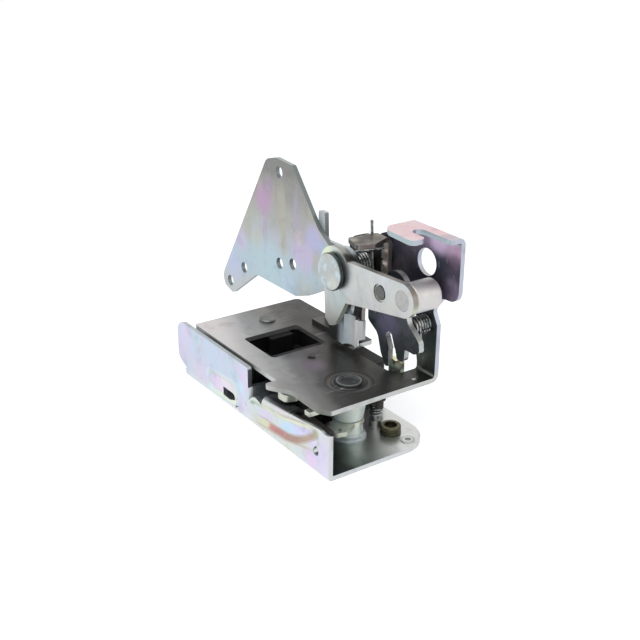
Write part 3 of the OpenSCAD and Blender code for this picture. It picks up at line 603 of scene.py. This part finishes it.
def crank_zinc():
    """Pale grey, lime beside the main pin; its near edge is lime below and brown above."""
    f = Finish("crank zinc", (196, 199, 197))
    tints = [(198, 203, 203), (204, 206, 200), (190, 196, 196), (206, 204, 204), (196, 202, 200)]
    film(f, EVERYWHERE, tints, seed=25.0, size=16.0, strength=0.6)
    front = f.facing(OUT)
    f.daub(front, [
        ((-70, 47, 88), 2, 9, 0.9, (218, 227, 200)),
        ((-58, 47, 88), 1, 7, 0.7, (204, 214, 208)),
        ((-58, 47, 64), 3, 12, 0.7, (190, 204, 204)),
        ((-22, 47, 86), 2, 9, 0.5, (200, 206, 212)),
        ((-4, 47, 74), 2, 9, 0.5, (206, 206, 206)),
        ((-46, 47, 74), 2, 9, 0.4, (204, 208, 206)),
    ])
    f.brush((1.0 - front) * f.facing(UP, 0.2, 0.7) * 0.8, (156, 150, 142))
    f.fade((1.0 - front) * f.facing(NEAR, 0.3, 0.8) * 0.8, f.level(UP, 66, 86), [
        (0.0, (206, 212, 184)), (0.45, (198, 202, 172)), (0.75, (128, 118, 106)), (1.0, (120, 112, 102))])
    # Faces that look down are painted darker, as painted shade.
    f.brush((1.0 - front) * f.facing(DOWN, 0.3, 0.8) * 0.7, (110, 112, 112))
    return zinc_coat(f, seed=5.0, rough=0.33, scuffs=0.12)


def lug_zinc():
    """A finger painted light with its near edge darker, as painted light and shade; a dark leg; a curled
    foot painted pale as painted light, near black beyond it as painted shade.
    """
    f = Finish("lug lever zinc", (112, 116, 118))
    tints = [(96, 100, 104), (124, 122, 130), (108, 116, 114), (130, 130, 120), (100, 104, 112)]
    film(f, EVERYWHERE, tints, seed=26.0, size=14.0, strength=0.5)
    finger = f.up(84, 90)
    # The finger is painted light and its near edge darker, as painted light and shade.
    f.brush(finger * 0.9, (206, 212, 214))
    f.brush(finger * f.facing(NEAR, 0.5, 0.9) * 0.85, (142, 143, 144))
    curl = f.facing(OUT, 0.3, 0.8) + f.facing(NEAR, 0.4, 0.9)
    foot = f.up(60, 54) * f.node("ShaderNodeClamp", inputs={0: curl})
    # The curled foot is painted pale as painted light, and near black beyond it as painted shade.
    f.fade(foot * f.side(-69, -64) * 0.95, f.level(NEAR, -66, -50), [
        (0.0, (196, 208, 214)), (0.4, (226, 240, 246)), (0.8, (250, 252, 250)), (1.0, (250, 252, 250))])
    f.brush(foot * f.side(-64, -69) * 0.85, (34, 37, 36))
    return zinc_coat(f, seed=6.0, rough=0.34, scuffs=0.2, metal=0.9 - foot * 0.6 - finger * 0.6)


def fork_zinc():
    """Dark grey with violet and blue green patches, and painted highlights on its upper and near edges."""
    f = Finish("fork zinc", (78, 85, 88))
    film(f, EVERYWHERE, [(60, 67, 69), (78, 83, 90), (68, 77, 77), (90, 90, 102), (72, 79, 81)],
         seed=27.0, size=12.0, strength=0.7)
    f.daub(EVERYWHERE, [
        ((-30, 57, 57), 3, 12, 0.8, (112, 110, 138)),
        ((-20, 57, 84), 3, 14, 0.7, (112, 114, 126)),
        ((-46, 57, 52), 3, 12, 0.6, (62, 78, 80)),
    ])
    front = f.facing(OUT, 0.3, 0.7)
    f.brush((1.0 - front) * f.facing(NEAR, 0.2, 0.7) * 0.8, (196, 202, 200))
    f.brush((1.0 - front) * f.facing(UP, 0.3, 0.8) * 0.7, (176, 176, 170))
    return zinc_coat(f, seed=7.0, rough=0.32, scuffs=0.25)


# The turned and headed pieces and the small levers.

def turned_zinc(name, seed, colour, tints, rough=0.3, scuffs=0.14, extra=None, metal=0.9):
    """A small piece with a thin film of tints, and what is particular to it, laid on by extra."""
    f = Finish(name, colour)
    film(f, EVERYWHERE, tints, seed, size=9.0, strength=0.6)
    if extra:
        extra(f)
    return zinc_coat(f, seed, rough, scuffs, metal)


def pin_head(f):
    """Pale blue and straw on the main pin's head, with three small marks; all else on the pin is dark."""
    head = f.facing(OUT, 0.5, 0.9)
    f.daub(head, [
        ((-71, 40, 84), 1, 7, 0.8, (188, 212, 220)),
        ((-58, 40, 72), 2, 8, 0.6, (212, 216, 204)),
        ((-69, 40, 78), 0.2, 1.6, 0.7, (196, 160, 176)),
        ((-62, 40, 73), 0.2, 1.4, 0.6, (164, 170, 170)),
        ((-70, 40, 72), 0.2, 1.0, 0.5, (168, 178, 182)),
    ])
    f.brush((1.0 - head) * 0.9, (48, 60, 58))


def stud_head(f):
    """The near stud's riveted head is dark with a light ring of painted highlight; its foot is painted
    greyer than its middle, as painted shade.
    """
    top = f.up(30, 31.5)
    f.brush(top * 0.95, (28, 31, 33))
    stud = f.from_axis(NEAR_STUD)
    f.brush(top * f.band(stud, 5.8, 6.5, 0.25) * 0.8, (132, 134, 132))
    f.brush(top * f.ease(stud, 2.4, 1.6) * 0.6, (26, 28, 30))
    foot = f.up(7, 4)
    f.brush(foot * 0.7, (158, 170, 174))


def sleeve_sides(f):
    """The spacer sleeve is blue to the left, cream to the right and painted dark at the foot, as painted
    reflection of the dark base.
    """
    left, right = (-0.7, -0.7, 0.0), (0.9, -0.4, 0.0)
    f.brush(f.facing(left, 0.3, 0.9) * 0.7, (214, 232, 252))
    f.brush(f.facing(right, 0.5, 0.95) * 0.7, (246, 252, 240))
    f.brush(f.up(8.5, 4.5) * 0.85, (70, 86, 90))


def nut_olive(f):
    """The press nut is olive on top and painted darker where it enters the base, as painted shade."""
    f.brush(f.facing(UP, 0.5, 0.9) * 0.6, (118, 112, 84))
    f.brush(f.up(5, 3) * 0.6, (40, 44, 40))


def pawl_foot(f):
    """The pawl's upright foot goes from green through straw to almost white; its darker green bottom is
    painted shade.
    """
    f.brush(f.facing(UP, 0.6, 0.9) * 0.5, (214, 216, 200))
    foot = f.back(57, 60) * f.up(30, 34)
    f.fade(foot * 0.8, f.level(UP, 32, 42), [
        (0.0, (132, 170, 142)), (0.3, (226, 234, 206)), (0.6, (244, 236, 190)), (1.0, (244, 246, 230))])


def pawl_post(f):
    """The pawl's pivot is painted dark as painted shade where it stands out of the frame plate, close to
    the bend.
    """
    middle = f.from_axis(PAWL_SHADE)
    f.brush(f.band(middle, -1, 8, 1.0) * f.up(30, 32) * 0.95, (46, 50, 47))


def rivet_shadow(f):
    """The far rivet is darker round its rim and in its middle."""
    rivet = f.from_axis(FAR_RIVET)
    f.brush(f.ease(rivet, 5.3, 6.0) * 0.6, (84, 84, 82))
    f.brush(f.ease(rivet, 1.6, 0.8) * 0.4, (88, 88, 86))


def lever_edges(f):
    """The latch levers have bright, slightly green faces above, in front and at the near end."""
    f.brush(f.facing(UP, 0.6, 0.9) * 0.7, (208, 210, 198))
    f.brush(f.facing(OUT, 0.4, 0.9) * 0.5, (206, 210, 184))
    f.brush(f.facing(NEAR, 0.4, 0.9) * 0.6, (224, 228, 204))


# The housing, the rubber and the springs.

def moulded_plastic():
    """Glass-filled black plastic, slightly grained; its upward faces where the window shows it are painted
    lighter and a little brown, as painted light.
    """
    f = Finish("black housing", (15, 14, 16))
    grain = f.cloud(0.7, 2.0)
    f.brush(f.facing(UP) * f.up(30, 26) * 0.8, (44, 38, 42))
    f.brush(f.ease(f.cloud(9.0, 4.0, detail=4.0), 0.52, 0.75) * 0.3, (46, 45, 46))
    f.set(Base_Color=f.colour, Roughness=0.46 + grain * 0.2, Specular_IOR_Level=0.3)
    f.dent(grain, 0.03)
    return f.owner


def black_rubber():
    """Dull black rubber with a fine grain."""
    f = Finish("black rubber", (34, 30, 29))
    grain = f.cloud(1.1, 6.0, detail=3.0)
    f.brush(grain, (58, 50, 47))
    f.set(Base_Color=f.colour, Roughness=0.7 + grain * 0.15)
    f.dent(grain, 0.05)
    return f.owner


def spring_wire():
    """Bright spring wire with duller patches."""
    f = Finish("spring wire", (112, 117, 116))
    shine = f.cloud(2.0, 1.0, detail=3.0)
    f.brush(f.ease(shine, 0.4, 0.65) * 0.8, (196, 200, 198))
    f.set(Base_Color=f.colour, Metallic=0.95, Roughness=0.26 + shine * 0.14)
    return f.owner


# Each finish: the record's slot, the finish itself and the pieces that wear it.
finishes = [
    ("face_plating", face_plate_zinc(), ["face_bracket"]),
    ("frame_plating", frame_plate_zinc(), ["frame_plate"]),
    ("frame_plating", turned_zinc("far rivet zinc", 31.0, (116, 116, 115), RIVET_GREY, rough=0.28,
                                  extra=rivet_shadow), ["far_rivet"]),
    ("handle_plating", handle_plate_zinc(), ["handle_lever"]),
    ("dark_plating", bracket_zinc(), ["lever_bracket", "bracket_rivets"]),
    ("dark_plating", fork_zinc(), ["fork_lever"]),
    ("dark_plating", lug_zinc(), ["lug_lever"]),
    ("lever_plating", crank_zinc(), ["bell_crank"]),
    ("lever_plating", turned_zinc("roller zinc", 32.0, (206, 203, 200), ROLLER_GREY, rough=0.42,
                                  scuffs=0.06), ["roller"]),
    ("lever_plating", turned_zinc("roller pin zinc", 33.0, (176, 177, 173), STEEL, rough=0.36),
     ["roller_pin"]),
    ("lever_plating", turned_zinc("fork rivet zinc", 34.0, (116, 118, 112), DARK + STEEL[:1]),
     ["fork_rivet"]),
    ("lever_plating", turned_zinc("pawl zinc", 35.0, (196, 200, 180), BRIGHT, rough=0.26,
                                  extra=pawl_foot), ["pawl"]),
    ("turned_plating", turned_zinc("main pin zinc", 36.0, (180, 190, 188), STEEL[:3] + BRIGHT[1:3],
                                   scuffs=0.06, extra=pin_head), ["main_pin"]),
    ("turned_plating", turned_zinc("near stud zinc", 37.0, (226, 236, 232), STUD_WHITE, rough=0.28,
                                   extra=stud_head, metal=0.35), ["near_stud"]),
    # The sleeve is painted near white, as painted reflection.
    ("turned_plating", turned_zinc("sleeve zinc", 38.0, (238, 250, 246), SLEEVE_WHITE, rough=0.28,
                                   scuffs=0.02, extra=sleeve_sides, metal=0.2), ["spacer_sleeve"]),
    ("turned_plating", turned_zinc("press nut zinc", 39.0, (74, 76, 62), OLIVE, extra=nut_olive),
     ["press_nut"]),
    ("turned_plating", turned_zinc("latch lever zinc", 40.0, (216, 221, 208), BRIGHT, rough=0.26,
                                   extra=lever_edges, metal=0.6),
     ["claw", "release_lever", "locking_lever"]),
    ("turned_plating", turned_zinc("small pin zinc", 41.0, (150, 154, 152), STEEL, extra=pawl_post),
     ["stud_washer", "claw_pivot", "pawl_pivot", "pin_sleeve", "spring_stud"]),
    ("spring_wire", spring_wire(), ["claw_spring", "pawl_spring", "upper_spring", "lower_spring"]),
    ("housing_plastic", moulded_plastic(), ["latch_housing"]),
    ("buffer_rubber", black_rubber(), ["rubber_buffer", "rubber_stop"]),
]
for slot, finish, names in finishes:
    for name in names:
        pieces[name].data.materials.clear()
        pieces[name].data.materials.append(finish)


# The table, the room, the lamps and the camera.

def seen(f):
    """1 for rays from the camera and for those that gloss or glass sends on."""
    def kind(name):
        return f.node("ShaderNodeLightPath", out=name)
    return f.reckon("MAXIMUM", kind("Is Camera Ray"), kind("Is Glossy Ray") + kind("Is Transmission Ray"))


def white_table(low):
    """A round table that looks white to the camera and keeps the lock's shadow."""
    bpy.ops.mesh.primitive_circle_add(vertices=96, radius=TABLE_RADIUS, fill_type="NGON",
                                      location=(0, 0, low))
    table = bpy.context.object
    table.name = "white_table"
    f = Finish("white table")
    f.set(Base_Color=shade(*TABLE_WHITE), Roughness=0.9, Specular_IOR_Level=0.0)
    glow = f.node("ShaderNodeEmission", inputs={"Color": shade(*WHITE), "Strength": TABLE_GLOW})
    plain = Signal(f, f.shader.outputs[0])
    lifted = f.node("ShaderNodeAddShader", inputs={0: plain, 1: glow})
    surface = f.node("ShaderNodeMixShader", inputs={0: seen(f), 1: plain, 2: lifted})
    f.feed(f.tree.nodes["Material Output"].inputs["Surface"], surface)
    table.data.materials.append(f.owner)


def white_room():
    """Light from all sides, pale grey on the lock but white to the camera and in reflections."""
    world = bpy.data.worlds.new("white room")
    bpy.context.scene.world = world
    f = Finish("white room", owner=world)
    back = f.tree.nodes["Background"]
    f.feed(back.inputs["Color"], f.mix(seen(f), shade(*ROOM_GREY), shade(*WHITE)))
    f.feed(back.inputs["Strength"], 1.0)


def soft_box(name, place, width, height, power):
    """A lamp with a flat rectangular face that points at the lock."""
    data = bpy.data.lights.new(name, "AREA")
    data.shape = "RECTANGLE"
    data.size = width
    data.size_y = height
    data.energy = power
    lamp = bpy.data.objects.new(name, data)
    bpy.context.scene.collection.objects.link(lamp)
    lamp.location = place
    lamp.rotation_mode = "QUATERNION"
    lamp.rotation_quaternion = (LAMP_AIM - Vector(place)).to_track_quat("-Z", "Y")


def photographer():
    """The camera stands where the photograph was taken from."""
    data = bpy.data.cameras.new("photographer")
    data.sensor_width = SENSOR_WIDTH
    data.lens = FOCAL_LENGTH / PHOTO_WIDTH * SENSOR_WIDTH
    data.clip_start = 0.01
    data.clip_end = 50.0
    camera = bpy.data.objects.new("photographer", data)
    bpy.context.scene.collection.objects.link(camera)
    turn = (Matrix.Rotation(math.radians(CAMERA_LEFT), 4, "Z")
            @ Matrix.Rotation(math.radians(90.0 - CAMERA_DOWN), 4, "X")
            @ Matrix.Rotation(math.radians(CAMERA_ROLL), 4, "Z"))
    spot = (Vector(CAMERA_PLACE) + CORNER) / 1000
    camera.matrix_world = Matrix.Translation(spot) @ turn
    bpy.context.scene.camera = camera


white_table(cad_box[0].z)
white_room()
soft_box("overhead box", (0.25, -0.35, 1.25), width=1.1, height=1.1, power=5.0)
soft_box("left box", (-0.75, -0.95, 0.55), width=0.7, height=0.9, power=1.2)
soft_box("right box", (1.0, 0.55, 0.6), width=0.5, height=0.9, power=1.5)
photographer()
bpy.context.scene.view_settings.view_transform = "Standard"
